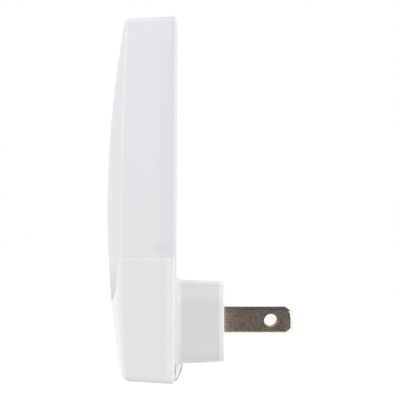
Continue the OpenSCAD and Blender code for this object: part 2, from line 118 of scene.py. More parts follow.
def srgb(code):
    """Linear colour, with alpha, of an sRGB hex value such as 'E8E7EC'."""
    parts = [int(code[i:i + 2], 16) / 255 for i in (0, 2, 4)]
    return [c / 12.92 if c <= 0.04045 else ((c + 0.055) / 1.055) ** 2.4 for c in parts] + [1.0]


def feed(tree, node, inputs):
    """Gives each of a node's inputs a value, or a link if it is given a socket."""
    for key, value in inputs.items():
        if isinstance(value, bpy.types.NodeSocket):
            tree.links.new(value, node.inputs[key])
        else:
            node.inputs[key].default_value = value


def add(tree, kind, settings=None, inputs=None):
    """Adds a node to a tree with its settings and what its inputs get."""
    node = tree.nodes.new(kind)
    for name, value in (settings or {}).items():
        setattr(node, name, value)
    feed(tree, node, inputs or {})
    return node


def linked(name, data):
    """New object round the given data, put in the scene."""
    obj = bpy.data.objects.new(name, data)
    bpy.context.scene.collection.objects.link(obj)
    return obj


def lean(z):
    """How far the rear face has moved towards the wall at height z."""
    return TOP_LEAN * (z + CASE_DROP) / (CASE_TOP + CASE_DROP)


def outline(hw, z0, z1, r, ups, acrosses, corner=ROUND_STEPS):
    """Rounded rectangle as (x, z) points, anticlockwise from its lower right corner.
    ups and acrosses are the shares, from 0 to 1, at which its straight sides have points."""
    def arc(cx, cz, start):
        turns = [start + QUARTER * i / corner for i in range(corner + 1)]
        return [(cx + r * math.cos(a), cz + r * math.sin(a)) for a in turns]

    low, high, side = z0 + r, z1 - r, hw - r
    return (
        arc(side, low, -QUARTER)
        + [(hw, low + (high - low) * s) for s in ups]
        + arc(side, high, 0)
        + [(side - 2 * side * s, z1) for s in acrosses]
        + arc(-side, high, QUARTER)
        + [(-hw, high + (low - high) * s) for s in reversed([1 - s for s in ups])]
        + arc(-side, low, 2 * QUARTER)
        + [(-side + 2 * side * s, z0) for s in acrosses]
    )


def shares(length, step=CELL):
    """Shares of the inner points of a side of that length, about one step apart."""
    count = max(2, round(length / step))
    return [i / count for i in range(1, count)]


def bridge(bm, low, high, closed=True):
    """Quads between two rows of as many points each, which are rings if closed."""
    count = len(low)
    for i in range(count if closed else count - 1):
        j = (i + 1) % count
        bm.faces.new((low[i], low[j], high[j], high[i]))


def object_from(bm, name, mats, sharp=35):
    """Turns a bmesh in millimetres into an object in metres with outward faces and smooth shading."""
    bmesh.ops.recalc_face_normals(bm, faces=bm.faces)
    bmesh.ops.scale(bm, vec=(MM, MM, MM), verts=bm.verts)
    mesh = bpy.data.meshes.new(name)
    bm.to_mesh(mesh)
    bm.free()
    for mat in mats:
        mesh.materials.append(mat)
    mesh.shade_smooth()
    mesh.set_sharp_from_angle(angle=math.radians(sharp))
    return linked(name, mesh)


def settled(obj):
    """Applies an object's modifiers by making its evaluated shape a plain mesh."""
    bpy.context.view_layer.update()
    graph = bpy.context.evaluated_depsgraph_get()
    done = obj.evaluated_get(graph)
    mesh = bpy.data.meshes.new_from_object(done, preserve_all_data_layers=True, depsgraph=graph)
    mesh.name = obj.name
    obj.modifiers.clear()
    obj.data = mesh
    return obj


def carve(obj, tool, operation="DIFFERENCE"):
    """Cuts tool out of obj, or joins it on, and removes the tool."""
    step = obj.modifiers.new("carve", "BOOLEAN")
    step.operation = operation
    step.solver = "EXACT"
    step.object = tool
    settled(obj)
    bpy.data.objects.remove(tool)
    return obj


def finish_shading(obj, sharp=30):
    """Sharp edges stay sharp, and flat faces next to roundings keep their own direction."""
    obj.data.shade_smooth()
    obj.data.set_sharp_from_angle(angle=math.radians(sharp))
    step = obj.modifiers.new("weighted", "WEIGHTED_NORMAL")
    step.keep_sharp = True
    return obj


def fitted(obj, slot, *nodes):
    """Rides a finished piece on the part's one body, in place of the CAD nodes it stands for."""
    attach(obj, BODY)
    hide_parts(*nodes)
    return obj


def lofted(name, mats, outer, holes=()):
    """Closed solid with a flat face at either end. outer and each hole are lists of rings of (x, y, z)
    points, all running from the one end to the other."""
    bm = bmesh.new()
    ends = ([], [])
    for chain in (outer, *holes):
        rows = [[bm.verts.new(p) for p in ring] for ring in chain]
        for low, high in zip(rows, rows[1:]):
            bridge(bm, low, high)
        for end, row in zip(ends, (rows[0], rows[-1])):
            end += [bm.edges.get((row[i - 1], row[i])) for i in range(len(row))]
    for end in ends:
        bmesh.ops.triangle_fill(bm, use_beauty=True, edges=end)
    bmesh.ops.remove_doubles(bm, verts=bm.verts, dist=0.002)
    return object_from(bm, name, mats, sharp=30)


def turned(profile, sides, x=0.0, z=0.0):
    """Rings of a turned shape along Y, centred on x and z, from (radius, y) pairs."""
    turns = [2 * math.pi * i / sides for i in range(sides)]
    return [[(x + r * math.cos(a), y, z + r * math.sin(a)) for a in turns] for r, y in profile]


def rounding(r, steps=4):
    """(inset, depth) pairs of a quarter round, from its flat face to its side."""
    turns = [QUARTER * i / steps for i in range(steps + 1)]
    return [(r * (1 - math.sin(a)), r * (1 - math.cos(a))) for a in turns]


def face_to_face(pairs):
    """(side, inset, depth) from a plate's one face to the other, with the same rounding on both."""
    return [(1, *pair) for pair in pairs] + [(-1, *pair) for pair in reversed(pairs)]


# ---- Materials ----

def shader(name, look):
    """New material around one Principled shader, whose plain values are set on its own sockets."""
    mat = bpy.data.materials.new(name)
    mat.use_nodes = True
    tree = mat.node_tree
    tree.nodes.clear()
    principled = add(tree, "ShaderNodeBsdfPrincipled", None, look)
    add(tree, "ShaderNodeOutputMaterial", None, {"Surface": principled.outputs[0]})
    return mat, tree, principled


def axes(tree):
    """X, Y and Z of a surface point, in metres and fixed to the object."""
    place = add(tree, "ShaderNodeTexCoord").outputs["Object"]
    return add(tree, "ShaderNodeSeparateXYZ", None, {0: place}).outputs


def clouds(tree, size, detail=3.0):
    """Noise fixed to the object, with patches of about the given size in millimetres."""
    place = add(tree, "ShaderNodeTexCoord").outputs["Object"]
    noise = add(tree, "ShaderNodeTexNoise", None, {
        "Vector": place, "Scale": 1 / (size * MM), "Detail": detail})
    return noise.outputs[0]


def layered(tree, colour, layers):
    """Lays tones over a colour in turn: each layer is the factor that says where it lies, and its tone."""
    for factor, tone in layers:
        mixed = add(tree, "ShaderNodeMix", {"data_type": "RGBA"}, {
            "Factor": factor, "A": colour, "B": srgb(tone)})
        colour = mixed.outputs["Result"]
    return colour


def mottled(tree, tone, shade, size, detail=3.0):
    """Two close tones of one material, clouded at the given size in millimetres."""
    return layered(tree, srgb(tone), [(clouds(tree, size, detail), shade)])


def moulded_skin(tree, principled, tone, shade, grain, depth, rough):
    """What an injection moulding has all over: faint cloudy flow in its colour, and a fine spark-eroded
    grain, whose real pits of 0.05 mm are drawn at the size given so that they show."""
    flow_size = 18
    pits = clouds(tree, grain, 2.0)
    gloss = add(tree, "ShaderNodeMapRange", None, {
        "Value": pits, "From Min": 0.3, "From Max": 0.7, "To Min": rough[0], "To Max": rough[1]})
    bump = add(tree, "ShaderNodeBump", None, {"Height": pits, "Distance": depth * MM, "Strength": 1.0})
    feed(tree, principled, {
        "Base Color": mottled(tree, tone, shade, flow_size), "Roughness": gloss.outputs[0],
        "Normal": bump.outputs[0]})


def band(tree, value, low, high, soft):
    """Factor that is 1 where value, in metres, lies between low and high millimetres, with soft edges."""
    off = add(tree, "ShaderNodeMath", {"operation": "SUBTRACT"}, {0: value, 1: (low + high) / 2 * MM})
    far = add(tree, "ShaderNodeMath", {"operation": "ABSOLUTE"}, {0: off.outputs[0]})
    half = (high - low) / 2
    edge = add(tree, "ShaderNodeMapRange", {"interpolation_type": "SMOOTHSTEP"}, {
        "Value": far.outputs[0], "From Min": (half - soft / 2) * MM, "From Max": (half + soft / 2) * MM,
        "To Min": 1.0, "To Max": 0.0})
    return edge.outputs[0]


def tinted(tree, principled, layers):
    """Lays faint tints over the base colour: each layer is where it lies, how strong it is, and its tone."""
    colour = principled.inputs["Base Color"].links[0].from_socket
    for factor, strength, tone in layers:
        amount = add(tree, "ShaderNodeMath", {"operation": "MULTIPLY"}, {0: factor, 1: strength})
        colour = layered(tree, colour, [(amount.outputs[0], tone)])
    feed(tree, principled, {"Base Color": colour})


def frosted_polycarbonate():
    """Opal polycarbonate: light sinks in and spreads, so its edges glow. Shade is painted into its colour:
    faint painted shades where the cover's rib, its catches and the foot of the reflector tray stand close
    behind the wall, a darker painted front face and top edge, and painted shade, a little less blue, towards
    the bottom and down the tongue. A trace of blue whitener gives it a cooler tint than the case."""
    mat, tree, principled = shader("frosted_polycarbonate", {
        "Subsurface Weight": 0.6, "Subsurface Radius": (1.0, 0.98, 1.05), "Subsurface Scale": 0.2 * MM,
        "IOR": 1.58, "Specular IOR Level": 0.4})
    moulded_skin(tree, principled, "EFEEF4", "EDECF1", grain=0.5, depth=0.002, rough=(0.32, 0.38))
    x, y, z = axes(tree)

    def patch(depths, depth_soft, heights, height_soft):
        """Factor of a soft-edged painted shade between two depths and two heights."""
        return add(tree, "ShaderNodeMath", {"operation": "MULTIPLY"}, {
            0: band(tree, y, *depths, depth_soft), 1: band(tree, z, *heights, height_soft)}).outputs[0]

    # Painted shades where the cover's rib, the foot of the reflector tray and the cover's catches stand
    # behind the wall.
    rib = patch((-16.0, -12.6), 2.0, (0.0, 70.5), 5.0)
    foot = patch((-17.2, -13.9), 3.0, (17.8, 19.4), 1.6)
    low_catch = patch((-13.9, -13.0), 0.8, (31.3, 32.7), 1.2)
    high_catch = patch((-13.9, -13.0), 0.8, (58.6, 60.0), 1.2)
    # Painted shade: the front face, between the side edges, and the top edge are painted darker.
    crown = band(tree, x, 1.2 - LENS_HW, LENS_HW - 1.2, 1.6)
    top_edge_shade = band(tree, z, 75.2, 80.0, 0.8)
    # These two painted shades grow from nothing at their first height to full at their second: warm darkens
    # the lens towards the bottom, a little less blue, and tongue darkens the tongue towards its lower end.
    tongue, warm = (add(tree, "ShaderNodeMapRange", None, {
        "Value": z, "From Min": start * MM, "From Max": end * MM}).outputs[0]
        for start, end in ((15.0, 6.0), (70.0, 20.0)))
    tinted(tree, principled, (
        (warm, 0.7, "EBEBEC"), (crown, 0.9, "DDDDDF"), (top_edge_shade, 0.7, "DCDCDE"), (rib, 0.35, "DFE2E8"),
        (foot, 0.3, "D6D6DC"), (low_catch, 0.08, "C4C6CE"), (high_catch, 0.16, "C4C6CE"),
        (tongue, 0.8, "C0C0C2")))
    return mat


def satin_abs():
    """Filled white ABS of the lower case: opaque and neutral, moulded with a satin grain that leaves soft
    highlights along its rounded edges. A band along its rear rim is painted lighter: a painted highlight."""
    mat, tree, principled = shader("satin_white_abs", {"IOR": 1.54})
    moulded_skin(tree, principled, "ECECED", "EAEAEA", grain=0.45, depth=0.0008, rough=(0.28, 0.31))
    # Painted highlight: a lighter band along the case's rear rim.
    rim = band(tree, axes(tree)["Y"], -14.2, -12.0, 0.8)
    tinted(tree, principled, [(rim, 0.35, "FAFAFB")])
    return mat


def plug_abs(name, tone, shade):
    """Flame-retardant white ABS of the rear cover and plug: the same white as the case, a little glossier.
    Beside the case the cover's edge is painted lighter: a painted highlight. The face plate's copy has a
    lighter tone: painted light."""
    mat, tree, principled = shader(name, {"IOR": 1.54})
    moulded_skin(tree, principled, tone, shade, grain=0.45, depth=0.0003, rough=(0.27, 0.29))
    x, _, z = axes(tree)
    # Painted highlight: the cover's sides beside the case, below the seam, are painted lighter.
    inner = CASE_HW - 0.7
    sides = add(tree, "ShaderNodeMath", {"operation": "SUBTRACT"}, {
        0: 1.0, 1: band(tree, x, -inner, inner, 0.8)})
    edge = add(tree, "ShaderNodeMath", {"operation": "MULTIPLY"}, {
        0: sides.outputs[0], 1: band(tree, z, -20.0, SEAM_Z, 1.0)})
    tinted(tree, principled, [(edge.outputs[0], 0.5, "FAFAFA")])
    return mat


def nickel_plated_brass():
    """Thin nickel on rolled brass strip: a warm grey metal, finely speckled where the plating is thin over
    the brass and streaked along the rolling direction."""
    mat, tree, principled = shader("nickel_plated_brass", {"Metallic": 1.0})
    place = add(tree, "ShaderNodeTexCoord").outputs["Object"]
    speck = add(tree, "ShaderNodeTexNoise", None,
                {"Vector": place, "Scale": 1 / (0.4 * MM), "Detail": 3.0, "Roughness": 0.6})
    along = add(tree, "ShaderNodeMapping", None, {"Vector": place, "Scale": (1.0, 0.5, 1.0)})
    streak = add(tree, "ShaderNodeTexNoise", None,
                 {"Vector": along.outputs[0], "Scale": 1 / (0.5 * MM), "Detail": 3.0})
    both = add(tree, "ShaderNodeMath", {"operation": "ADD"}, {0: streak.outputs[0], 1: speck.outputs[0]})
    spread = add(tree, "ShaderNodeMapRange", None,
                 {"Value": both.outputs[0], "From Min": 0.75, "From Max": 1.25})
    colour = layered(tree, srgb("D9CDBC"), [(spread.outputs[0], "F4EADB")])
    gloss = add(tree, "ShaderNodeMapRange", None,
                {"Value": both.outputs[0], "From Min": 0.7, "From Max": 1.3, "To Min": 0.25, "To Max": 0.31})
    bump = add(tree, "ShaderNodeBump", None,
               {"Height": both.outputs[0], "Distance": 0.002 * MM, "Strength": 1.0})
    feed(tree, principled, {
        "Base Color": colour, "Roughness": gloss.outputs[0], "Normal": bump.outputs[0]})
    return mat


def clear_acrylic():
    """Clear moulded acrylic: it bends the light, with the slight haze and waviness of a cheap moulding."""
    mat, tree, principled = shader("clear_acrylic", {
        "Transmission Weight": 0.97, "IOR": 1.49, "Base Color": srgb("F3F0EC"), "Roughness": 0.05})
    bump = add(tree, "ShaderNodeBump", None, {
        "Height": clouds(tree, 2.5, 1.0), "Distance": 0.006 * MM, "Strength": 1.0})
    feed(tree, principled, {"Normal": bump.outputs[0]})
    return mat


# ---- Materials of the inner parts ----

def tinned(tree, principled, along, covered, body, rough):
    """Body colour and roughness over the covered millimetres along the named axis, and bright tin over
    copper beyond them, where the leads are bare."""
    within = band(tree, axes(tree)[along], *covered, 0.05)
    colour = add(tree, "ShaderNodeMix", {"data_type": "RGBA"}, {
        "Factor": within, "A": mottled(tree, "C9C6BF", "E2E0DB", 0.8, 2.0), "B": body})
    gloss = add(tree, "ShaderNodeMapRange", None, {"Value": within, "To Min": 0.3, "To Max": rough})
    metal = add(tree, "ShaderNodeMapRange", None, {"Value": within, "To Min": 1.0, "To Max": 0.0})
    feed(tree, principled, {
        "Base Color": colour.outputs["Result"], "Roughness": gloss.outputs[0], "Metallic": metal.outputs[0]})


def soft_pvc(name, tone, shade, covered):
    """Extruded PVC insulation, soft and faintly cloudy, with its strands tinned where they are stripped:
    outside the covered depths."""
    mat, tree, principled = shader(name, {"IOR": 1.53})
    tinned(tree, principled, "Y", covered, mottled(tree, tone, shade, 1.5), 0.45)
    return mat


def moulded_epoxy():
    """Mineral-filled black epoxy, transfer moulded: matt, with a fine dusty grain. Its leads are tinned;
    they start behind the bodies of the bridge and the transistor."""
    mat, tree, principled = shader("transfer_moulded_epoxy", {"IOR": 1.55})
    tinned(tree, principled, "Y", (FAR_FRONT, LEADS_FROM), mottled(tree, "1B1B1D", "29292B", 0.3), 0.6)
    return mat


def boxed_film(tone, shade):
    """Glass-filled polyester box of the film capacitor: satin, with tinned leads below it."""
    mat, tree, principled = shader("glass_filled_polyester_box", {"IOR": 1.56})
    tinned(tree, principled, "Y", (BOARD_REAR, 0.0), mottled(tree, tone, shade, 2.0), 0.4)
    return mat


def shrink_sleeve():
    """Glossy PVC shrink sleeve of the smoothing capacitor, open over the aluminium can's scored top, with
    a pale stripe down the negative side."""
    mat, tree, principled = shader("pvc_shrink_sleeve", {"IOR": 1.53})
    x, _, z = axes(tree)
    stripe_x, stripe_z, soft = (10.6, 13.0), (-5.0, -2.6), 0.1
    stripe = add(tree, "ShaderNodeMath", {"operation": "MULTIPLY"}, {
        0: band(tree, x, *stripe_x, soft), 1: band(tree, z, *stripe_z, soft)})
    body = layered(tree, mottled(tree, "10121F", "171A2B", 2.0), [(stripe.outputs[0], "B9BDC4")])
    tinned(tree, principled, "Y", (BOARD_REAR, SLEEVE_TOP), body, 0.25)
    return mat


def lacquered_resistor(name, tone, shade, centre, half, rings):
    """Baked lacquer over a ceramic rod, with painted rings at the given places along X and tinned ends."""
    mat, tree, principled = shader(name, {"IOR": 1.5})
    x = axes(tree)["X"]
    painted = layered(tree, mottled(tree, tone, shade, 0.8), [
        (band(tree, x, centre + at - RING_HALF, centre + at + RING_HALF, 0.08), ring_tone)
        for at, ring_tone in rings])
    tinned(tree, principled, "X", (centre - half, centre + half), painted, 0.35)
    return mat


def sealed_glass():
    """Glass diode body: orange-red from the sealed-in studs, with a black cathode ring and tinned leads."""
    mat, tree, principled = shader("sealed_glass_diode", {"IOR": 1.52, "Coat Weight": 0.6})
    glass, cathode_ring = (7.0, 11.0), (10.1, 10.7)
    body = layered(tree, mottled(tree, "C2501E", "D97A3A", 0.9), [
        (band(tree, axes(tree)["X"], *cathode_ring, 0.06), "141414")])
    tinned(tree, principled, "X", glass, body, 0.12)
    return mat


def cadmium_sulphide():
    """Light-sensitive layer on a ceramic disc under clear resin: orange-brown meanders between silver
    electrodes on its face, pale ceramic round it and tinned leads behind."""
    mat, tree, principled = shader("cadmium_sulphide_on_ceramic", {"IOR": 1.5, "Coat Weight": 0.8})
    x, y, z = axes(tree)
    pitch = 0.8 * MM
    track_x, track_y, disc = (-1.6, 1.6), (-15.06, -14.0), (-17.05, 0.0)
    sway = add(tree, "ShaderNodeMath", {"operation": "PINGPONG"}, {0: z, 1: pitch / 2})
    track = add(tree, "ShaderNodeMapRange", None,
                {"Value": sway.outputs[0], "From Min": 0.22 * pitch, "From Max": 0.28 * pitch})
    lines = add(tree, "ShaderNodeMath", {"operation": "MULTIPLY"}, {
        0: track.outputs[0], 1: band(tree, x, *track_x, 0.1)})
    face = add(tree, "ShaderNodeMath", {"operation": "MULTIPLY"}, {
        0: lines.outputs[0], 1: band(tree, y, *track_y, 0.02)})
    body = layered(tree, mottled(tree, "D9D2C3", "E6E0D3", 1.0), [(face.outputs[0], "9A4B1E")])
    tinned(tree, principled, "Y", disc, body, 0.2)
    return mat


def solder_mask(name, tone, copper, rough, field):
    """Glass-fibre board under solder mask: wide copper fields of about the given size in millimetres, which
    show as slightly raised, lighter areas with narrow etched gaps between them."""
    mat, tree, principled = shader(name, {"IOR": 1.5})
    x, _, z = axes(tree)
    plan = add(tree, "ShaderNodeCombineXYZ", None, {0: x, 1: z})
    near, following = (add(tree, "ShaderNodeTexVoronoi", {"distance": "CHEBYCHEV", "feature": feature}, {
        "Vector": plan.outputs[0], "Scale": 1 / (field * MM), "Randomness": 0.6}) for feature in ("F1", "F2"))
    apart = add(tree, "ShaderNodeMath", {"operation": "SUBTRACT"}, {
        0: following.outputs["Distance"], 1: near.outputs["Distance"]})
    raised = add(tree, "ShaderNodeMapRange", None, {
        "Value": apart.outputs[0], "From Min": 0.3 / field, "From Max": 0.5 / field})
    colour = layered(tree, srgb(tone), [(raised.outputs[0], copper)])
    bump = add(tree, "ShaderNodeBump", None,
               {"Height": raised.outputs[0], "Distance": 0.03 * MM, "Strength": 1.0})
    gloss = add(tree, "ShaderNodeMapRange", None, {
        "Value": clouds(tree, 3, 2.0), "To Min": rough - 0.06, "To Max": rough + 0.06})
    feed(tree, principled, {
        "Base Color": colour, "Roughness": gloss.outputs[0], "Normal": bump.outputs[0]})
    return mat


def reflector_polypropylene():
    """Titanium-white polypropylene of the reflector tray: dull, so that it scatters the light evenly."""
    mat, tree, principled = shader("titanium_white_polypropylene", {"IOR": 1.49, "Specular IOR Level": 0.3})
    moulded_skin(tree, principled, "F2F2F1", "EEEEEC", grain=0.6, depth=0.006, rough=(0.62, 0.72))
    return mat


def led_package_plastic():
    """White moulded package with a dome of phosphor in silicone, told apart by the mesh's own attribute."""
    mat, tree, principled = shader("phosphor_led_package", {"IOR": 1.5})
    part = add(tree, "ShaderNodeAttribute", {"attribute_name": "phosphor"}).outputs["Fac"]
    colour = add(tree, "ShaderNodeMix", {"data_type": "RGBA"}, {
        "Factor": part, "A": mottled(tree, "F1F0EC", "E9E8E2", 1.0),
        "B": mottled(tree, "E8C33A", "F0D25A", 0.4)})
    gloss = add(tree, "ShaderNodeMapRange", None, {"Value": part, "To Min": 0.5, "To Max": 0.18})
    feed(tree, principled, {"Base Color": colour.outputs["Result"], "Roughness": gloss.outputs[0]})
    return mat


def zinc_plated_steel():
    """Bright zinc with a faint blue passivation, clouded as it leaves the barrel."""
    mat, tree, principled = shader("zinc_plated_steel", {"Metallic": 1.0})
    gloss = add(tree, "ShaderNodeMapRange", None, {"Value": clouds(tree, 0.9), "To Min": 0.2, "To Max": 0.42})
    feed(tree, principled, {
        "Base Color": mottled(tree, "BFC3C9", "D3D6DA", 1.4), "Roughness": gloss.outputs[0]})
    return mat


# ---- The two front shells ----

def seam_level(x, z):
    """Above 0 on the lens's side of the seam, and below 0 on the lower case's. The seam is level on the
    sides, and hangs as half a squared-off ellipse across the front."""
    x, z = min(abs(x), SIDE_X), z - SEAM_Z - SEAM_SETTLE
    across, down = x / TONGUE_HW, abs(z) / TONGUE_DROP
    reach = max((across ** TONGUE_POWER + down ** TONGUE_POWER) ** (1 / TONGUE_POWER), 1e-6)
    slope = math.hypot((across / reach) ** (TONGUE_POWER - 1) / TONGUE_HW,
                       (down / reach) ** (TONGUE_POWER - 1) / TONGUE_DROP)
    inside = (1 - reach) / slope
    blend = max(SEAM_BLEND - abs(z - inside), 0) / SEAM_BLEND
    return max(z, inside) + blend * blend * SEAM_BLEND / 4


def seam_side(point):
    """Distance from the seam in the XZ plane, positive on the lens."""
    here, step = seam_level(point.x, point.z), 0.02
    tilt = math.hypot(seam_level(point.x + step, point.z) - here, seam_level(point.x, point.z + step) - here)
    return here * step / max(tilt, 0.2 * step)


def open_tree(name, output, inputs):
    """New geometry node tree that gives one geometry, with inputs of the given names and kinds, and the
    sockets of those inputs."""
    tree = bpy.data.node_groups.new(name, "GeometryNodeTree")
    for label, kind in inputs.items():
        tree.interface.new_socket(label, in_out="INPUT", socket_type="NodeSocket" + kind)
    tree.interface.new_socket(output, in_out="OUTPUT", socket_type="NodeSocketGeometry")
    return tree, add(tree, "NodeGroupInput").outputs


def close_tree(tree, shape, mat):
    """Ends the tree: its copies become real geometry, with the given material."""
    real = add(tree, "GeometryNodeRealizeInstances", None, {0: shape})
    coated = add(tree, "GeometryNodeSetMaterial", None, {"Geometry": real.outputs[0], "Material": mat})
    add(tree, "NodeGroupOutput", None, {0: coated.outputs[0]})
    return tree


def pillow_tree():
    """Geometry nodes that press a flat-fronted blank to the case's pillowed front. The blank's Y says how
    far a point lies behind the front, and its front_share how much of the front's depth it follows. The
    crown and the sides are arcs upwards, which lie rise squared / (2 x radius) behind their crests."""
    numbers = ("Half Width", "Crown Depth", "Crown Height", "Crown Radius", "Side Depth", "Side Height",
               "Side Radius", "Side Limit", "Rim Depth", "Rim Lean")
    tree, given = open_tree("pillow_front", "Shell", {
        "Blank": "Geometry", **dict.fromkeys(numbers, "Float"), "Material": "Material"})
    place = add(tree, "GeometryNodeInputPosition").outputs[0]
    x, behind, z = add(tree, "ShaderNodeSeparateXYZ", None, {0: place}).outputs
    share = add(tree, "GeometryNodeInputNamedAttribute", {"data_type": "FLOAT"}, {"Name": "front_share"})
    known = {"x": x, "z": z} | {number: given[number] for number in numbers}
    for made, operation, first, second in (
            ("rise", "SUBTRACT", "z", "Crown Height"),
            ("crown square", "MULTIPLY", "rise", "rise"),
            ("crown width", "MULTIPLY", "Crown Radius", 2.0),
            ("crown bend", "DIVIDE", "crown square", "crown width"),
            ("crown", "SUBTRACT", "crown bend", "Crown Depth"),
            ("past", "SUBTRACT", "z", "Side Height"),
            ("held", "MINIMUM", "past", "Side Limit"),
            ("side square", "MULTIPLY", "held", "held"),
            ("side width", "MULTIPLY", "Side Radius", 2.0),
            ("side bend", "DIVIDE", "side square", "side width"),
            ("side", "SUBTRACT", "side bend", "Side Depth"),
            ("across", "DIVIDE", "x", "Half Width"),
            ("bulge", "POWER", "across", 2.0),
            ("fullness", "SUBTRACT", 1.0, "bulge"),
            ("slant", "MULTIPLY", "z", "Rim Lean"),
            ("rim", "SUBTRACT", "slant", "Rim Depth")):
        step = add(tree, "ShaderNodeMath", {"operation": operation}, {
            0: known.get(first, first), 1: known.get(second, second)})
        known[made] = step.outputs[0]
    front = add(tree, "ShaderNodeMix", None, {
        "Factor": known["fullness"], "A": known["side"], "B": known["crown"]})
    pressed = add(tree, "ShaderNodeMath", {"operation": "ADD"}, {0: front.outputs[0], 1: behind})
    y = add(tree, "ShaderNodeMix", None, {
        "Factor": share.outputs[0], "A": known["rim"], "B": pressed.outputs[0]})
    target = add(tree, "ShaderNodeCombineXYZ", None, {0: x, 1: y.outputs[0], 2: z})
    moved = add(tree, "GeometryNodeSetPosition", None, {
        "Geometry": given["Blank"], "Position": target.outputs[0]})
    return close_tree(tree, moved.outputs[0], given["Material"])


def apply_tree(obj, tree, values):
    """Runs a geometry node tree on obj with its named inputs, and keeps the result as a plain mesh."""
    step = obj.modifiers.new(tree.name, "NODES")
    step.node_group = tree
    sockets = {item.name: item.identifier for item in tree.interface.items_tree if item.in_out == "INPUT"}
    for name, value in values.items():
        step[sockets[name]] = value
    return settled(obj)


def shell_rows(edge):
    """Shares of the points along the sides and ends of a shell's outline, and its rings from the rim to the
    front as (inset, corner radius, distance behind the front, share of the pillow)."""
    height = CASE_TOP + CASE_DROP
    ups, acrosses = shares(height - 2 * edge), shares(2 * (CASE_HW - edge))
    wall_steps = 16
    rows = [(DRAFT_IN * k / wall_steps, edge, edge, k / wall_steps) for k in range(wall_steps + 1)]
    for k in range(1, ROUND_STEPS + 1):
        turn = QUARTER * k / ROUND_STEPS
        rows.append((DRAFT_IN + edge * (1 - math.cos(turn)), edge * math.cos(turn),
                     edge * (1 - math.sin(turn)), 1.0))
    return ups, acrosses, rows


def shell_blank(name, hw, edge, mat):
    """Open skin of one shell before it is pressed: its sides, its rounded edge and a flat front. A point's
    Y is how far it lies behind the front."""
    ups, acrosses, rows = shell_rows(edge)
    bm = bmesh.new()
    share_layer = bm.verts.layers.float.new("front_share")
    low, high = -CASE_DROP, CASE_TOP

    def row_of(points, share):
        verts = [bm.verts.new(p) for p in points]
        for vert in verts:
            vert[share_layer] = share
        return verts

    rings = []
    for inset, r, behind, share in rows:
        around = outline(hw - inset, low + inset, high - inset, r, ups, acrosses)
        rings.append(row_of([(x, behind, z) for x, z in around], share))
    for rear, front in zip(rings, rings[1:]):
        bridge(bm, rear, front)
    reach = DRAFT_IN + edge
    xs = [(hw - reach) * (1 - 2 * s) for s in [0.0] + acrosses + [1.0]]
    zs = [low + reach + (high - low - 2 * reach) * s for s in [0.0] + ups + [1.0]]
    lines = [row_of([(x, 0.0, z) for x in xs], 1.0) for z in zs]
    for lower, upper in zip(lines, lines[1:]):
        bridge(bm, lower, upper, closed=False)
    bmesh.ops.remove_doubles(bm, verts=bm.verts, dist=0.0005)
    return object_from(bm, name, [mat])


def front_shell(name, hw, side, edge, lip, keep, mat, tree):
    """One front shell: pressed to its pillow, cut along the seam, and given its lips and inner skin.
    keep is 1 for what lies above the seam and -1 for what lies below it."""
    blank = shell_blank(name, hw, edge, mat)
    apply_tree(blank, tree, {
        "Half Width": hw * MM, "Crown Depth": CROWN_DEPTH * MM, "Crown Height": CROWN_Z * MM,
        "Crown Radius": CROWN_R * MM, "Side Depth": side["depth"] * MM, "Side Height": side["z"] * MM,
        "Side Radius": side["r"] * MM, "Side Limit": side["limit"] * MM,
        "Rim Depth": (STANDOFF + FLANGE + RIM_LIP + SEAM_SHUT - lean(0)) * MM,
        "Rim Lean": TOP_LEAN / (CASE_TOP + CASE_DROP), "Material": mat})
    bm = bmesh.new()
    bm.from_mesh(blank.data)
    bpy.data.objects.remove(blank)
    bmesh.ops.scale(bm, vec=(1 / MM, 1 / MM, 1 / MM), verts=bm.verts)
    cut_along(bm, lambda point: keep * seam_side(point) - lip - SEAM_SHUT / 2)
    thicken(bm, lip)
    return object_from(bm, name, [mat], sharp=40)


def cut_along(bm, side):
    """Cuts an open skin along side(point) = 0 and keeps what is positive."""
    value = {v: side(v.co) for v in bm.verts}
    for edge in list(bm.edges):
        a, b = edge.verts
        if value[a] * value[b] < 0:
            start, end = a.co.copy(), b.co.copy()
            near, far = 0.0, 1.0
            for _ in range(12):
                mid = (near + far) / 2
                near, far = (mid, far) if side(start.lerp(end, mid)) * value[a] > 0 else (near, mid)
            made = bmesh.utils.edge_split(edge, a, near)[1]
            made.co = start.lerp(end, near)
            value[made] = 0.0
    for face in list(bm.faces):
        on = [v for v in face.verts if value[v] == 0]
        if len(on) == 2 and not bm.edges.get(on):
            bmesh.utils.face_split(face, *on)
    lost = [f for f in bm.faces if sum(value[v] for v in f.verts) < 0]
    bmesh.ops.delete(bm, geom=lost, context="FACES")
    edge_verts = [v for v in bm.verts if v.is_boundary]
    bmesh.ops.remove_doubles(bm, verts=edge_verts, dist=0.12)


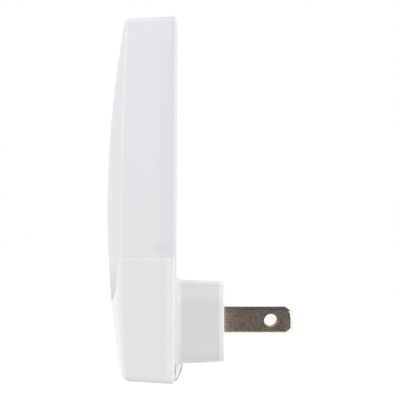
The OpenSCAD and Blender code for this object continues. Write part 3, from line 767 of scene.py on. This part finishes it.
def thicken(bm, seam_lip):
    """Gives an open skin its wall: a small round lip all along its free edge, then an inner skin."""
    if sum(face.normal.y * face.calc_area() for face in bm.faces) > 0:
        bmesh.ops.reverse_faces(bm, faces=bm.faces)
    bm.normal_update()
    skin, faces = list(bm.verts), list(bm.faces)
    free = [e for e in bm.edges if e.is_boundary]
    outward = {}
    for edge in free:
        loop = edge.link_loops[0]
        along = loop.link_loop_next.vert.co - loop.vert.co
        out = along.cross(loop.face.normal)
        at_rim = min(vert.co.y for vert in edge.verts) > RIM_FRONT_Y
        for vert in edge.verts:
            outward.setdefault(vert, ([], []))[at_rim].append(out)
    normal = {v: v.normal.copy() for v in skin}
    inner = {v: bm.verts.new(v.co - SHELL_WALL * normal[v]) for v in skin}
    rows = {}
    for vert, (at_seam, at_rim) in outward.items():
        reach = Vector()
        for outs, lip in ((at_seam, seam_lip), (at_rim, RIM_LIP)):
            if outs:
                total = sum(outs, Vector())
                total = (total - total.dot(normal[vert]) * normal[vert]).normalized()
                reach += total * lip / max(0.7, min(total.dot(out.normalized()) for out in outs))
        sink = seam_lip if at_seam else RIM_LIP
        rows[vert] = [vert]
        for k in range(1, LIP_STEPS + 1):
            turn = QUARTER * k / LIP_STEPS
            rows[vert].append(bm.verts.new(
                vert.co + math.sin(turn) * reach - (1 - math.cos(turn)) * sink * normal[vert]))
        rows[vert].append(bm.verts.new(inner[vert].co + reach))
        rows[vert].append(inner[vert])
    for face in faces:
        bm.faces.new([inner[v] for v in reversed(face.verts)])
    for edge in free:
        a, b = (rows[v] for v in edge.verts)
        for k in range(len(a) - 1):
            bm.faces.new((a[k], b[k], b[k + 1], a[k + 1]))


# ---- Rear cover with the plug body ----

# The cover's screw posts: x, z, the Y of the end, and the depth of the pilot hole.
POSTS = [(19.5, -0.3, -18.5, 4.0), (-19.5, -0.3, -18.5, 4.0), (0, 26, -15.1, 1.8), (0, 64, -15.1, 1.8)]
POST_R = 2.5
PILOT_R = 1.0


def rear_y(z, depth=0.0):
    """Y of the leaning rear face at height z, or of a plane that far in front of it."""
    return lean(z) - STANDOFF - depth


def cover_ring(inset, r, depth):
    """Ring round the rear cover, stepped in above the seam by as much as the lens is narrower."""
    seam_share = (SEAM_Z + CASE_DROP - EDGE_R) / (CASE_TOP + CASE_DROP - 2 * EDGE_R)
    step = 0.0006
    ups = sorted(shares(CASE_TOP + CASE_DROP, 3) + [seam_share - step, seam_share + step])
    ring = outline(CASE_HW - inset, inset - CASE_DROP, CASE_TOP - inset, r, ups, shares(2 * CASE_HW, 3))
    stepped = [(x - math.copysign(LENS_STEP, x) * (z > SEAM_Z) * (abs(x) > LENS_STEP), z) for x, z in ring]
    return [(x, rear_y(z, depth), z) for x, z in stepped]


def plug_outline(hw, hh, r, y, leaning):
    """Rounded ring about the plug body's axis at depth y. A leaning one follows the rear face's lean."""
    ring = outline(hw, -PLUG_SINK - hh, hh - PLUG_SINK, r, shares(2 * PLUG_HH, 4), shares(2 * PLUG_HW, 4),
                   corner=12)
    return [(x, y + (lean(z) if leaning else 0), z) for x, z in ring]


def plug_ring(grow, y, leaning=False):
    """Ring round the plug body, grown by that much from its root's outline."""
    return plug_outline(PLUG_HW + grow, PLUG_HH + grow, PLUG_R + grow, y, leaning)


def cavity_ring(y, leaning=False, shrink=0.0):
    """Ring round the hollow of the plug body."""
    thick = PLUG_WALL + shrink
    return plug_outline(PLUG_HW - thick, PLUG_HH - thick - SEAM_GAP, PLUG_R - thick, y, leaning)


def box_tool(x0, x1, y0, y1, z0, z1):
    """Plain block in millimetres, joined on or cut out."""
    bm = bmesh.new()
    bmesh.ops.create_cube(bm, size=1.0)
    for v in bm.verts:
        v.co = Vector(((x0 + x1) / 2 + v.co.x * (x1 - x0), (y0 + y1) / 2 + v.co.y * (y1 - y0),
                       (z0 + z1) / 2 + v.co.z * (z1 - z0)))
    return object_from(bm, "tool", [])


def post_tool(x, z, y0, y1, r):
    """Plain round post along Y in millimetres, joined on or cut out."""
    return lofted("tool", [], turned([(r, y0), (r, y1)], 32, x, z))


def rear_cover(mat):
    """The rear cover: a thin flange, the rib that the shells fit over, and the hollow plug body."""
    edge, ledge, rib_in, rib_depth, plate_depth = 0.75, 1.7, 2.7, 3.0, 1.5
    outer = [cover_ring(inset, EDGE_R - inset * 0.5, depth) for inset, depth in rounding(edge, 6)]
    outer += [cover_ring(inset, EDGE_R - inset * 0.5, FLANGE - depth) for inset, depth in
              reversed(rounding(RIM_LIP, 2))]
    outer += [cover_ring(inset, 0.6, depth) for inset, depth in
              ((ledge, FLANGE), (ledge, rib_depth), (rib_in, rib_depth), (rib_in, plate_depth))]
    sleeve_end = (FACE_T - STANDOFF + PLUG_FILLET) * DRAFT
    plug = [plug_ring(inset, depth - STANDOFF, leaning=True) for inset, depth in rounding(PLUG_FILLET, 8)]
    plug += [plug_ring(sleeve_end - inset, -FACE_T - depth) for inset, depth in
             reversed(rounding(RIM_LIP, 3))]
    plug += [cavity_ring(-FACE_T), cavity_ring(-STANDOFF - plate_depth, leaning=True)]
    cover = lofted("rear_cover", [mat], outer, [plug])
    root_y = -STANDOFF - plate_depth + TOP_LEAN + 0.3
    for x, z, end_y, pilot in POSTS:
        carve(cover, post_tool(x, z, end_y, root_y, POST_R), "UNION")
        carve(cover, post_tool(x, z, end_y - 1, end_y + pilot, PILOT_R))
    gap, play, beyond = 0.05, 0.3, -20
    carve(cover, box_tool(-WINDOW_HW - gap, WINDOW_HW + gap, beyond, 0, beyond, WINDOW_TOP + 2 * gap))
    carve(cover, box_tool(-FLANGE_HW - play, FLANGE_HW + play, beyond, -STANDOFF - plate_depth,
                          beyond, FLANGE_TOP + play))
    return finish_shading(cover)


def face_plate(mat):
    """Plate that closes the plug body: its contact face has slots for the blades, and a spigot behind it
    fits inside the plug body."""
    edge, slack, mouth, slot_r = 0.5, 0.03, 0.15, 0.12
    back = (FACE_T - STANDOFF + PLUG_FILLET) * DRAFT
    front = -(STANDOFF - PLUG_FILLET) * DRAFT
    outer = [plug_ring(front - inset, -depth) for inset, depth in rounding(edge)]
    outer += [plug_ring(back - inset, depth - FACE_T) for inset, depth in reversed(rounding(RIM_LIP, 3))]
    outer += [cavity_ring(-FACE_T, shrink=SEAM_GAP), cavity_ring(-SPIGOT, shrink=SEAM_GAP)]
    slots = []
    for side in (-1, 1):
        chain = []
        for inset, depth in rounding(mouth, 3) + [(0.0, SPIGOT)]:
            hw, hh = BLADE_HALF_T + slack + inset, BLADE_HH + slack + inset
            chain.append([(side * BLADE_X + x, -depth, z) for x, z in
                          outline(hw, -hh, hh, slot_r, [0.5], [0.5], corner=3)])
        slots.append(chain)
    return finish_shading(lofted("plug_face", [mat], outer, slots))


# ---- Blades ----

def mitred(points, insets):
    """A closed outline of (y, z) points moved inwards, each point by its own inset."""
    moved = []
    count = len(points)
    for i, (y, z) in enumerate(points):
        before, after = Vector(points[i - 1]), Vector(points[(i + 1) % count])
        here = Vector((y, z))
        first, second = (here - before).normalized(), (after - here).normalized()
        left_a, left_b = Vector((-first.y, first.x)), Vector((-second.y, second.x))
        joint = (left_a + left_b).normalized()
        moved.append(here + joint * insets[i] / max(0.5, joint.dot(left_a)))
    return moved


def blade(name, x, mat):
    """Flat blade stamped from strip: its long edges are slightly rounded, its tip is coined to a bevel so
    that it finds the slot, and the lock hole has a broken edge."""
    tail_hh, shoulder_hh, shoulder = 2.0, 4.0, 1.2
    half = [(-BLADE_TAIL, tail_hh), (-SPIGOT - shoulder, tail_hh), (-SPIGOT - shoulder, shoulder_hh),
            (-SPIGOT, shoulder_hh), (-SPIGOT, BLADE_HH), (BLADE_LEN - TIP_RUN, BLADE_HH),
            (BLADE_LEN, BLADE_HH - TIP_RISE)]
    points = [(y, -z) for y, z in half] + list(reversed(half))
    coined = BLADE_LEN - 0.1
    bevel = [(0.36, 0.0), (0.30, 0.02), (0.16, 0.13), (0.03, 0.26), (0.0, 0.34)]
    at_tip = [y > coined for y, z in points]
    wide, deep = [1.5 if tip else 1.0 for tip in at_tip], [1.3 if tip else 1.0 for tip in at_tip]
    rings = []
    for side, inset, depth in face_to_face(bevel):
        ring = mitred(points, [inset * share for share in wide])
        rings.append([(x + side * (BLADE_HALF_T - depth * share), p.x, p.y) for share, p in zip(deep, ring)])
    flare, sides = 0.05, 64
    turns = [2 * math.pi * i / sides for i in range(sides)]
    hole = []
    for side, inset, depth in face_to_face(rounding(flare, 3)):
        r = HOLE_R - flare + inset
        hole.append([(x + side * (BLADE_HALF_T - depth), HOLE_AT + r * math.cos(a), r * math.sin(a))
                     for a in turns])
    return finish_shading(lofted(name, [mat], rings, [hole]))


# ---- Sensor window ----

WINDOW_HW = 4.5
WINDOW_R = 9.0
WINDOW_CENTRE = (-19.4, -10.2)
WINDOW_TOP = -10.75
WINDOW_LOW = -15.3
WINDOW_FRONT = -14.6
WINDOW_FOOT = -13.25
WINDOW_RIM = -13.15
FLANGE_HW = 5.5
FLANGE_TOP = WINDOW_TOP + 1.7
WINDOW_FLANGE = (-FLANGE_HW, FLANGE_HW, WINDOW_FRONT, -13.85, WINDOW_FOOT, FLANGE_TOP)
WINDOW_EDGE = 0.2
WINDOW_STEPS = 20
WINDOW_SHARP = 8  # its flat sides keep their own direction, or they would bend the light that passes


def window_profile():
    """(y, z) outline of the window: an arc that bulges to the rear, and a block that reaches inside."""
    def arc_y(z):
        return WINDOW_CENTRE[0] + math.sqrt(WINDOW_R ** 2 - (z - WINDOW_CENTRE[1]) ** 2)

    arc = [(arc_y(z), z) for z in
           [WINDOW_LOW + (WINDOW_TOP - WINDOW_LOW) * i / WINDOW_STEPS for i in range(WINDOW_STEPS + 1)]]
    return [(WINDOW_FRONT, WINDOW_FOOT), (WINDOW_RIM, WINDOW_FOOT), (WINDOW_RIM, WINDOW_LOW)] + arc + [
        (WINDOW_FRONT, WINDOW_TOP)]


def sensor_window(mat):
    """Clear block under the plug body that lets the room's light in to the photocell, with a flange that
    holds it inside the case."""
    points = window_profile()
    rings = []
    for side, inset, depth in face_to_face(rounding(WINDOW_EDGE)):
        ring = mitred(points, [inset] * len(points))
        rings.append([(side * (WINDOW_HW - depth), p.x, p.y) for p in ring])
    window = lofted("clear_window", [mat], rings)
    return finish_shading(carve(window, box_tool(*WINDOW_FLANGE), "UNION"), WINDOW_SHARP)


# ---- Repeated inner pieces ----

LED_FRONT = -17.1  # front face of the LED board
LED_PLACES = [(x, z) for x in (-10, 10) for z in (30, 45, 60)]
DRIVER_FRONT = -19.7
DRIVER_SCREWS = [(-19.5, -0.3), (19.5, -0.3)]
TRAY_SCREWS = [(0, 26), (0, 64)]


def repeat_tree():
    """Geometry nodes that put one piece at each of the given points."""
    tree, given = open_tree("piece_at_points", "Pieces", {
        "Places": "Geometry", "Piece": "Object", "Material": "Material"})
    piece = add(tree, "GeometryNodeObjectInfo", None, {"Object": given["Piece"]})
    copies = add(tree, "GeometryNodeInstanceOnPoints", None, {
        "Points": given["Places"], "Instance": piece.outputs["Geometry"]})
    return close_tree(tree, copies.outputs[0], given["Material"])


def set_out(name, piece, y, places, mat, tree):
    """Places copies of a piece, which is then removed, at depth y and the given (x, z) places."""
    bm = bmesh.new()
    for x, z in places:
        bm.verts.new((x, y, z))
    points = object_from(bm, name, [])
    apply_tree(points, tree, {"Piece": piece, "Material": mat})
    bpy.data.objects.remove(piece)
    return points


def led_package(mat):
    """One surface-mount package: a drafted white box with a round cup that holds the phosphor's dome."""
    hw, hh, thick, cup, dome = 1.75, 1.4, 0.7, 1.05, 0.1

    def box_ring(inset, y):
        around = outline(hw - inset, inset - hh, hh - inset, 0.2, [0.5], [0.5], corner=8)
        return [(x, y, z) for x, z in around]

    rings = [box_ring(0.0, 0.0), box_ring(0.0, -0.25), box_ring(0.06, -0.62), box_ring(0.14, -thick)]
    around = [math.atan2(z, x) for x, y, z in rings[0]]
    for r, y in ((cup + 0.05, -thick), (cup, 0.02 - thick), (1.0, 0.02 - thick), (0.85, -0.05 - thick),
                 (0.55, -0.085 - thick), (0.2, -dome - thick)):
        rings.append([(r * math.cos(a), y, r * math.sin(a)) for a in around])
    piece = lofted("led_package", [mat], rings)
    glow = piece.data.attributes.new("phosphor", "FLOAT", "POINT")
    for vert in piece.data.vertices:
        reach = math.hypot(vert.co.x, vert.co.z)
        glow.data[vert.index].value = float(reach < (cup - 0.02) * MM and vert.co.y < -0.6 * MM)
    return piece


def pan_screw(shank, mat):
    """Thread-forming pan head screw: a domed head with a cross recess, and ridges along its shank."""
    head_r, head_t, dome, core, crest, pitch = 1.9, 1.3, 0.75, 0.72, 0.95, 0.8
    profile = [(0.3, -head_t)]
    profile += [(head_r * math.sin(a), -head_t + dome * (1 - math.cos(a))) for a in
                (QUARTER * i / 6 for i in range(2, 7))]
    profile += [(head_r, -0.1), (head_r - 0.1, 0.0), (crest, 0.0), (core, 0.3)]
    count = int((shank - 0.8) / pitch)
    for i in range(count):
        y = 0.4 + i * pitch
        profile += [(core, y), (crest, y + 0.3 * pitch), (core, y + 0.6 * pitch)]
    profile += [(core, shank - 0.4), (0.25, shank)]
    piece = lofted("pan_screw", [mat], turned(profile, 32))
    slot_len, slot_w, slot_t = 2.2, 0.6, 0.6
    for along, across in ((slot_len, slot_w), (slot_w, slot_len)):
        carve(piece, box_tool(-along / 2, along / 2, -head_t - 1, slot_t - head_t, -across / 2, across / 2))
    return piece


# ---- Stage ----

def seen_rays(tree):
    """Factor that is 1 for the rays that show a surface itself: to the camera, mirrored or through glass."""
    path = add(tree, "ShaderNodeLightPath").outputs
    either = add(tree, "ShaderNodeMath", {"operation": "MAXIMUM"},
                 {0: path["Is Camera Ray"], 1: path["Is Glossy Ray"]})
    any_of = add(tree, "ShaderNodeMath", {"operation": "MAXIMUM"},
                 {0: either.outputs[0], 1: path["Is Transmission Ray"]})
    return any_of.outputs[0]


def sweep(height):
    """Pale floor well below the object, so that its shadow falls out of the way. What is seen of it glows
    up to the white of the room."""
    span, lift = 12, 0.48
    mat, tree, principled = shader("white_sweep", {
        "Base Color": srgb("DCDCDC"), "Roughness": 0.8, "Specular IOR Level": 0.1,
        "Emission Color": (1, 1, 1, 1)})
    glow = add(tree, "ShaderNodeMath", {"operation": "MULTIPLY"}, {0: seen_rays(tree), 1: lift})
    feed(tree, principled, {"Emission Strength": glow.outputs[0]})
    bpy.ops.mesh.primitive_plane_add(size=span, location=(0, 0, height))
    floor = bpy.context.object
    floor.name = "floor"
    floor.data.materials.append(mat)


def dark_card(height):
    """Dark cards that only mirrors see: a grey one on the floor and behind the camera for the blades' flat
    faces, and black ones overhead for their upper edges and beyond the plug for its underside."""
    low, rise, over = height + 0.002, 0.9, 0.9
    near, far, ahead, behind = 0.13, 1.25, -0.9, 0.5  # the floor's card, and the one that rises from it
    left, right, back, front = -0.85, 1.1, -0.8, 1.25  # the one overhead
    start, beyond, edge = -0.195, -3.0, -0.03  # the one beyond the plug
    mesh = bpy.data.meshes.new("dark_card")
    mesh.from_pydata(
        [(near, -near, low), (near, near, low), (far, behind, low), (far, ahead, low),
         (far, behind, rise), (far, ahead, rise),
         (back, left, over), (front, left, over), (front, right, over), (back, right, over),
         (start, edge, low), (start, near, low), (beyond, -beyond, low), (beyond, edge, low)],
        [], [(0, 1, 2, 3), (3, 2, 4, 5), (6, 7, 8, 9), (10, 11, 12, 13)])
    for name, tone in (("grey_card", "565049"), ("black_card", "201F1D")):
        mesh.materials.append(shader(name, {"Base Color": srgb(tone), "Roughness": 0.9})[0])
    for face in mesh.polygons[2:]:
        face.material_index = 1
    card = linked("dark_card", mesh)
    card.visible_camera = False
    card.visible_diffuse = False
    card.visible_transmission = False
    card.visible_shadow = False


def lamps():
    """Soft lamps to the object's front and rear, a little above it and towards the camera, and a weaker one
    overhead that the metal doesn't mirror."""
    middle = Vector((0, -0.01, 0.03))
    for name, place, size, watts in (("lamp_front", (0.52, -1.15, 0.47), 0.6, 4.7),
                                     ("lamp_rear", (0.58, 1.12, 0.46), 0.6, 5.0),
                                     ("lamp_top", (0.15, 0.2, 1.3), 0.8, 1.6)):
        light = bpy.data.lights.new(name, "AREA")
        light.size = size
        light.energy = watts
        lamp = linked(name, light)
        lamp.location = place
        lamp.rotation_euler = (middle - Vector(place)).to_track_quat("-Z", "Y").to_euler()
        lamp.visible_glossy = name != "lamp_top"


def white_room():
    """Even white light from all round, a little softer on the object than the white that is seen."""
    world = bpy.data.worlds.new("white_room")
    bpy.context.scene.world = world
    world.use_nodes = True
    tree = world.node_tree
    tree.nodes.clear()
    lit, seen = 0.76, 1.0
    level = add(tree, "ShaderNodeMapRange", None, {"Value": seen_rays(tree), "To Min": lit, "To Max": seen})
    sky = add(tree, "ShaderNodeBackground", None, {"Color": (1, 1, 1, 1), "Strength": level.outputs[0]})
    add(tree, "ShaderNodeOutputWorld", None, {0: sky.outputs[0]})


def camera():
    """Long lens square to the object's right side."""
    data = bpy.data.cameras.new("camera")
    data.lens = 336.8
    data.sensor_width = 36
    data.clip_end = 50
    cam = linked("camera", data)
    cam.location = (0.950, -0.00603, 0.0304)
    cam.rotation_euler = (QUARTER, 0, QUARTER)
    bpy.context.scene.camera = cam


# ---- Assembly ----

scene = bpy.context.scene
scene.view_settings.view_transform = "Standard"
FLOOR_Z = -0.060
camera()
sweep(FLOOR_Z)
dark_card(FLOOR_Z)
lamps()
white_room()

LENS_MAT = frosted_polycarbonate()
CASE_MAT = satin_abs()
COVER_MAT = plug_abs("flame_retardant_abs", "E7E7E7", "E5E5E4")
# The face plate's copy has a lighter tone than the cover's: painted light along the plug's face.
PLATE_MAT = plug_abs("flame_retardant_abs_plate", "F3F3F3", "F1F1F0")
METAL = nickel_plated_brass()
CLEAR = clear_acrylic()
PILLOW = pillow_tree()

fitted(front_shell("lens_shell", LENS_HW, LENS_SIDE, LENS_EDGE, LENS_LIP, 1, LENS_MAT, PILLOW),
       "frosted_lens", "lens")
fitted(front_shell("lower_case", CASE_HW, CASE_SIDE, CASE_EDGE, CASE_LIP, -1, CASE_MAT, PILLOW),
       "white_case", "front_housing")
fitted(rear_cover(COVER_MAT), "white_back", "back_cover")
fitted(face_plate(PLATE_MAT), "white_back", "plug_face_plate")
fitted(blade("line_blade", BLADE_X, METAL), "plated_brass", "blade_line")
fitted(blade("neutral_blade", -BLADE_X, METAL), "plated_brass", "blade_neutral")
fitted(sensor_window(CLEAR), "clear_window", "sensor_window")

REPEAT = repeat_tree()
LED_MAT = led_package_plastic()
ZINC = zinc_plated_steel()
fitted(set_out("led_packages", led_package(LED_MAT), LED_FRONT, LED_PLACES, LED_MAT, REPEAT),
       "led_package", "leds")
fitted(set_out("driver_screws", pan_screw(4.8, ZINC), DRIVER_FRONT, DRIVER_SCREWS, ZINC, REPEAT),
       "screw_steel", "board_screws")
fitted(set_out("tray_screws", pan_screw(3.5, ZINC), LED_FRONT, TRAY_SCREWS, ZINC, REPEAT),
       "screw_steel", "board_screws")

EPOXY = moulded_epoxy()
MAINS_COVERED = (-17.4, -10.0)  # depths between which the mains wires keep their insulation
LINK_COVERED = (-22.0, -20.4)  # and the link wires theirs
DRESS = {
    "line_wire": soft_pvc("black_pvc", "141414", "222222", MAINS_COVERED),
    "neutral_wire": soft_pvc("white_pvc", "DDDDDB", "E8E8E6", MAINS_COVERED),
    "link_wires": soft_pvc("red_pvc", "9C1418", "B3201F", LINK_COVERED),
    "reflector_tray": reflector_polypropylene(),
    "led_board": solder_mask("white_solder_mask", "E8EAE7", "EFF0EE", 0.35, 9.0),
    "driver_board": solder_mask("green_solder_mask", "0F4024", "1B5832", 0.3, 5.0),
    "film_capacitor": boxed_film("B98A2B", "C79A3C"),
    "smoothing_capacitor": shrink_sleeve(),
    "bridge_rectifier": EPOXY,
    "transistor": EPOXY,
    "fusible_resistor": lacquered_resistor(
        "flameproof_lacquer", "6E93B8", "7FA2C4", centre=-8.0, half=4.5,
        rings=((-3.2, "C23A20"), (-1.8, "1A1A1A"), (-0.4, "C9A23B"), (2.6, "C9A23B"))),
    "bleed_resistors": lacquered_resistor(
        "carbon_film_lacquer", "C9AE84", "D6BD95", centre=8.0, half=3.15,
        rings=((-2.2, "7A4A1E"), (-1.1, "1A1A1A"), (0.0, "3E8E3E"), (2.1, "C9A23B"))),
    "zener_diode": sealed_glass(),
    "photocell": cadmium_sulphide(),
    "photocell_sleeve": soft_pvc("black_shrink_tube", "151515", "202020", (FAR_FRONT, 0.0)),
}
for node, mat in DRESS.items():
    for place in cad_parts[node].material_slots:
        place.link = "OBJECT"
        place.material = mat
